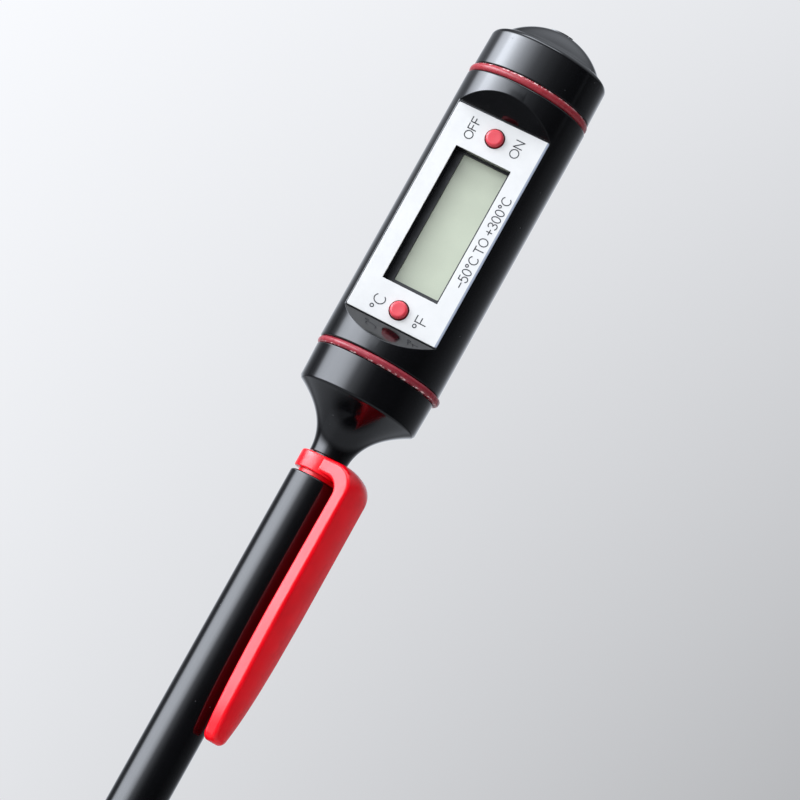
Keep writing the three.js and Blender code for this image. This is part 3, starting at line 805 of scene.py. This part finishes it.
PRINT = [
    *lettering("OFF", -3.16, 1.33, 210.83, 214.24),
    *lettering("ON", 4.4, 1.37, 211.19, 213.93),
    *lettering(["degree", "C"], -2.52, 1.78, 181.63, 183.84),
    *lettering(["degree", "F"], 4.67, 1.76, 181.69, 183.65),
    *lettering([*"-50", "degree", *"C TO +300", "degree", "C"], 6.92, 1.42, 190.1, 205.34),
]
PRINT_LOW = FACE["floor"] + LABEL["thickness"] - PRINTING["sunk"]

piece(face_label(), "label_film", "head", "white_label", MATERIALS["white_label"], "face_label",
      weighted=True)
piece(printed(PRINT, PRINT_LOW, PRINT_LOW + PRINTING["thickness"]), "label_print", "head", "white_label",
      MATERIALS["ink"])
piece(display_bezel(), "bezel_frame", "head", "black_bezel", MATERIALS["black_bezel"], "display_bezel",
      weighted=True)
for key, height in BUTTON_HEIGHTS.items():
    piece(push_button(height), f"{key}_cap", f"{key}_key", "red_button", MATERIALS["red_button"],
          f"{key}_button")


# ---------------------------------------------------------------- probe, sheath and clip

def probe_tube():
    """The steel probe: a tube with a long ground point."""
    low, top, radius, bore = PROBE_LOW.z, PROBE_HIGH.z, PROBE["radius"], PROBE["bore"]
    corners = [
        (0, low), (0.3, low + 0.02, 0.12), (1.0, 8.6), (radius, PROBE["shoulder"], 1.5), (radius, top, 0.08),
        (bore, top), (bore, 12.0), (0, 9.5),
    ]
    return lathe(rounded(corners, 6), 96)


def sheath_tube():
    """The sheath: a closed tube with a round lower edge, a slightly hollow end and a rounded mouth."""
    radius, bore, floor, edge = SHEATH["radius"], SHEATH["bore"], SHEATH["floor"], SHEATH["edge"]
    corners = [
        (0, 0.03), (2.6, 0.03), (2.7, 0), (radius, 0, edge), (radius, SHEATH_TOP, 0.3),
        (bore, SHEATH_TOP, 0.15), (bore, floor, edge), (0, floor),
    ]
    return lathe(rounded(corners, 6), 160)


def arm_width(z):
    """Half the arm's width at a height: widest over its upper half, narrow at the tip."""
    for (z0, w0), (z1, w1) in zip(ARM_WIDTHS, ARM_WIDTHS[1:]):
        if z <= z1:
            return w0 + (w1 - w0) * (z - z0) / (z1 - z0)
    return ARM_WIDTHS[-1][1]


def arm_section(outer, inner, half_width):
    """A section of the arm between its outer and inner line: round corners and a crowned outer face."""
    middle, reach = (outer + inner) / 2, (outer - inner) / 2
    half = reach.length
    across = reach.normalized()
    corner = min(CLIP["corner"], half * 0.9, half_width * 0.9)
    points = [tuple(point) for point in rectangle(-half_width, half_width, -half, half, corner)]
    top = [(half_width * share, half) for share in (0.6, 0.3, 0, -0.3, -0.6)]
    points = points[:21] + top + points[21:]          # 21 points make the first three corners
    made = []
    for y, n in points:
        lift = CLIP["crown"] * (1 - (y / half_width) ** 2) * max(0.0, n / half)
        at = middle + across * (n + lift)
        made.append(Vector((at[0], y, at[1])))
    return made


def clip_arm():
    """The flat arm, from the ring over the bend and down to its rounded tip."""
    top, under, start = CLIP["ring_high"], CLIP["underside"], CLIP["arm_start"]
    bend_out, bend_in = CLIP["bend_outside"], CLIP["bend_inside"]
    pairs = [(Vector((start, top)), Vector((start, under)), arm_width(top))]
    outer = arc((CLIP["outer"] - bend_out, top - bend_out), bend_out, 90, 0, 16)
    inner = arc((CLIP["inner"] - bend_in, under - bend_in), bend_in, 90, 0, 16)
    pairs += [(o, i, arm_width((o.y + i.y) / 2)) for o, i in zip(outer, inner)]

    tip, straight = CLIP_LOW.z, CLIP["straight_low"]
    foot, gather = tip + CLIP["tip_height"], CLIP["inner_tip"] - CLIP["inner"]
    steps = 30
    for k in range(1, steps + 1):
        share = k / steps
        z = (1 - share) * outer[-1].y + share * foot
        lean = max(0.0, (straight - z) / (straight - tip))
        o = Vector((CLIP["outer"] - CLIP["outer_lean"] * lean * lean, z))
        i = Vector((CLIP["inner"] + gather * min(1.0, share * 1.3), (1 - share) * inner[-1].y + share * foot))
        pairs.append((o, i, arm_width(z)))

    last_out, last_in, last_width = pairs[-1]
    tip_steps = 8
    for k in range(1, tip_steps + 1):
        angle = math.pi / 2 * k / tip_steps
        drop, shrink = CLIP["tip_height"] * math.sin(angle), 1 - math.cos(angle)
        o = Vector((last_out.x - 0.75 * shrink, last_out.y - drop))
        i = Vector((last_in.x + 0.4 * shrink, last_in.y - drop))
        pairs.append((o, i, last_width - 1.25 * shrink))
    return loft([arm_section(*pair) for pair in pairs])


def pocket_clip():
    """The clip: a ring with a collar that sits in the sheath's mouth, and the arm."""
    low, high, bore, ring = CLIP["ring_low"], CLIP["ring_high"], CLIP["bore"], CLIP["ring"]
    collar, foot = CLIP["collar"], CLIP["collar_low"]
    corners = [
        (bore, foot), (collar, foot, 0.2), (collar, low), (ring, low, 0.22), (ring, high, 0.3),
        (bore, high, 0.1),
    ]
    made = join(lathe(rounded(corners, 5), 128), clip_arm())
    made = cut(made, drum(bore, foot - 1, high + 1, 128))
    made.data.transform(Matrix.Rotation(math.radians(CLIP["angle"]), 4, "Z"))
    return made


piece(probe_tube(), "probe_steel_tube", "head", "probe_steel", MATERIALS["probe_steel"], "probe_tube",
      weighted=True)
piece(sheath_tube(), "sheath_shell", "sheath", "black_shell", MATERIALS["sheath_black"], "sheath_tube",
      weighted=True)
piece(pocket_clip(), "clip_moulding", "clip", "red_clip", MATERIALS["red_clip"], "pocket_clip", weighted=True)


# ---------------------------------------------------------------- inner pieces that keep their CAD shape

SLOT_OF = {row["node"]: row["material_slot"] for row in frame["record"]["subparts"]}
for name, node in frame["nodes"].items():
    if not node.hide_render:
        node.data.materials.clear()
        node.data.materials.append(MATERIALS[SLOT_OF[name]])


# ---------------------------------------------------------------- camera, floor and light

VIEW_AZIMUTH, VIEW_RISE, VIEW_ROLL = 13.364, 7.955, 29.117    # degrees
VIEW_DISTANCE, VIEW_LENS = 540.72, 163.47                     # millimetres
VIEW_AIM = Vector((4.945, 1.175, 172.305))                    # millimetres
SENSOR = 36.0                                                 # millimetres
FLOOR_RADIUS, FLOOR_DEPTH, FLOOR_GAP = 2900.0, 4.0, 0.05      # millimetres

CEILING = 1.1                    # brightness straight above
BAND = 5.5                       # brightness of the long soft light high on the left and in front
FLOOR_GLOW = 0.45                # brightness of the dim floor in front
EVERYWHERE = 0.02                # brightness added on all sides
FAR_PAPER = 0.82                 # brightness of the paper seen from other sides
# brightness of the paper in the photograph's view, a painted shade: at its upper left, and its loss towards
# the corners
PAPER = {"start": 0.965, "across": 0.17, "down": 0.19, "corner": 0.125}


def view_axes():
    """The camera's right, up and forward directions: a little to the right of the display, looking up."""
    azimuth, rise, roll = (math.radians(a) for a in (VIEW_AZIMUTH, VIEW_RISE, VIEW_ROLL))
    ahead = math.cos(rise)
    forward = Vector((-math.sin(azimuth) * ahead, math.cos(azimuth) * ahead, math.sin(rise)))
    level = forward.cross(Vector((0, 0, 1))).normalized()
    up = level.cross(forward) * math.cos(roll) - level * math.sin(roll)
    return forward.cross(up), up, forward


def make_camera():
    """A long lens at the photograph's viewing angle."""
    right, up, forward = view_axes()
    data = bpy.data.cameras.new("camera")
    data.lens, data.sensor_width = VIEW_LENS, SENSOR
    data.clip_start, data.clip_end = 0.02, 50.0
    camera = bpy.data.objects.new("camera", data)
    camera.matrix_world = Matrix((right, up, -forward)).transposed().to_4x4()
    camera.location = (VIEW_AIM - forward * VIEW_DISTANCE) * MM
    bpy.context.scene.collection.objects.link(camera)
    bpy.context.scene.camera = camera


def make_floor():
    """A pale disc that the sheath's end stands on."""
    floor = drum(FLOOR_RADIUS, -FLOOR_DEPTH, -FLOOR_GAP, 96)
    floor.name = "floor"
    floor.data.transform(Matrix.Scale(MM, 4))
    made = Finish("floor_paper")
    made.colour(made.mix(made.noise(3.0, 3), (0.59, 0.58, 0.565), (0.62, 0.61, 0.595)))
    made.roughness(made.ramp(made.noise(40, 3), 0.3, 0.7, 0.75, 0.9))
    floor.data.materials.append(made.material)
    floor.visible_glossy = False


# brightness round the object, as (degrees to the right of the photograph's side, value), level and above
AROUND_LEVEL = [
    (-180, 0.85), (-160, 0.85), (-140, 0.3), (-125, 0.14), (-114, 0.3), (-108, 1.0), (-101, 4.6), (-94, 6.6),
    (-80, 8.4), (-60, 8.9), (-52, 7.6), (-45, 6.2), (-40, 4.8), (-35, 2.9), (-30, 1.6), (-20, 0.9),
    (-10, 0.4), (0, 0.14), (20, 0.05), (60, 0.03), (90, 0.1), (110, 0.17), (130, 0.25), (145, 0.45),
    (160, 0.85), (180, 0.85),
]
AROUND_ABOVE = [
    (-180, 0.85), (-150, 0.45), (-130, 0.45), (-122, 0.9), (-117, 3.4), (-112, 6.0), (-105, 8.2), (-97, 10.8),
    (-90, 16.5), (-80, 17.5), (-72, 14.4), (-65, 11.2), (-60, 9.5), (-50, 6.4), (-40, 4.4), (-30, 2.6),
    (-20, 1.4), (-10, 0.95), (0, 0.6), (20, 0.22), (40, 0.1), (60, 0.04), (73, 0.04), (78, 0.14), (83, 0.05),
    (100, 0.12), (120, 0.17), (140, 0.35), (160, 0.85), (180, 0.85),
]
BRIGHTEST = 20.0                 # a ramp's colours end at 1, so its stops are divided by this


def make_world():
    """A pale studio: a tall softbox at the left, a dark front and right, a soft ceiling, and paper behind."""
    world = bpy.data.worlds.new("studio")
    world.use_nodes = True
    tree = world.node_tree
    tree.nodes.clear()

    def node(kind, inputs, **settings):
        made = tree.nodes.new(kind)
        for key, value in settings.items():
            setattr(made, key, value)
        for key, value in inputs.items():
            if isinstance(value, bpy.types.NodeSocket):
                tree.links.new(value, made.inputs[key])
            else:
                made.inputs[key].default_value = value
        return made

    def calc(operation, first, second=0.0):
        return node("ShaderNodeMath", {0: first, 1: second}, operation=operation).outputs[0]

    def along(direction):
        """How far the way out of the scene points along a fixed direction."""
        product = node("ShaderNodeVectorMath", {0: way, 1: tuple(direction)}, operation="DOT_PRODUCT")
        return product.outputs["Value"]

    def step(value, low, high, to_low=0.0, to_high=1.0):
        return node("ShaderNodeMapRange", {
            "Value": value, "From Min": low, "From Max": high, "To Min": to_low, "To Max": to_high,
        }, interpolation_type="SMOOTHSTEP").outputs[0]

    def brightness(value, stops):
        """The brightness at a value in degrees, on straight lines between the stops."""
        ramp = node("ShaderNodeValToRGB", {0: calc("ADD", calc("DIVIDE", value, 360.0), 0.5)})
        ramp.color_ramp.interpolation = "LINEAR"
        marks = ramp.color_ramp.elements
        while len(marks) < len(stops):
            marks.new(0.5)
        for mark, (angle, level) in zip(marks, stops):
            mark.position = angle / 360 + 0.5
            mark.color = (*[level / BRIGHTEST] * 3, 1)
        return calc("MULTIPLY", ramp.outputs["Color"], BRIGHTEST)

    way = node("ShaderNodeTexCoord", {}).outputs["Generated"]
    turned = node("ShaderNodeVectorRotate", {"Vector": way, "Angle": math.radians(-VIEW_AZIMUTH)},
                  rotation_type="Z_AXIS")
    x, y, z = node("ShaderNodeSeparateXYZ", {"Vector": turned.outputs[0]}).outputs
    around = calc("MULTIPLY", calc("ARCTAN2", x, calc("MULTIPLY", y, -1.0)), 180 / math.pi)
    rise = calc("MULTIPLY", calc("ARCSINE", z), 180 / math.pi)

    above = step(rise, 8, 15)
    level = calc("MULTIPLY", brightness(around, AROUND_LEVEL), calc("SUBTRACT", 1.0, above))
    level = calc("MULTIPLY", level, step(rise, -20, -2, 0.02, 1.0))
    sides = calc("ADD", level, calc("MULTIPLY", brightness(around, AROUND_ABOVE), above))
    sides = calc("MULTIPLY", sides, step(rise, 17, 34, 1.0, 0.06))
    ceiling = step(rise, 24, 75, 0.0, CEILING)
    total = calc("ADD", calc("ADD", sides, ceiling), EVERYWHERE)

    band = calc("MULTIPLY", step(rise, 46, 52), step(rise, 60, 68, 1.0, 0.0))
    band = calc("MULTIPLY", band, calc("MULTIPLY", step(around, -108, -90), step(around, -5, 25, 1.0, 0.0)))
    glow = calc("MULTIPLY", step(rise, -10, -28), step(rise, -75, -50))
    total = calc("ADD", total, calc("MULTIPLY", band, BAND))
    total = calc("ADD", total, calc("MULTIPLY", glow, FLOOR_GLOW))

    # painted shade: the paper seen behind darkens towards the lower right of the photograph, as a fixed
    # direction in the scene
    right, up, forward = view_axes()
    u, v = (
        node("ShaderNodeClamp", {0: calc("ADD", along(axis * (VIEW_LENS / SENSOR)), 0.5), 1: -0.05, 2: 1.02})
        .outputs[0] for axis in (right, -up)
    )
    fall = calc("ADD", calc("MULTIPLY", u, PAPER["across"]), calc("MULTIPLY", v, PAPER["down"]))
    fall = calc("ADD", fall, calc("MULTIPLY", calc("MULTIPLY", u, v), PAPER["corner"]))
    shade = calc("SUBTRACT", PAPER["start"], fall)
    # more than 9.2 to 13 degrees away from the photograph's direction the paper is evenly pale
    near = step(along(forward), math.cos(math.radians(13)), math.cos(math.radians(9.2)))
    far = calc("MULTIPLY", calc("SUBTRACT", 1.0, near), FAR_PAPER)
    shade = calc("ADD", calc("MULTIPLY", shade, near), far)
    seen = node("ShaderNodeBackground", {"Color": (0.985, 1.0, 1.035, 1), "Strength": shade})
    lit = node("ShaderNodeBackground", {"Color": (0.93, 0.985, 1.08, 1), "Strength": total})
    path = node("ShaderNodeLightPath", {})
    mixed = node("ShaderNodeMixShader",
                 {0: path.outputs["Is Camera Ray"], 1: lit.outputs[0], 2: seen.outputs[0]})
    out = tree.nodes.new("ShaderNodeOutputWorld")
    tree.links.new(mixed.outputs[0], out.inputs[0])
    bpy.context.scene.world = world


make_camera()
make_floor()
make_world()
bpy.context.scene.view_settings.view_transform = "Standard"
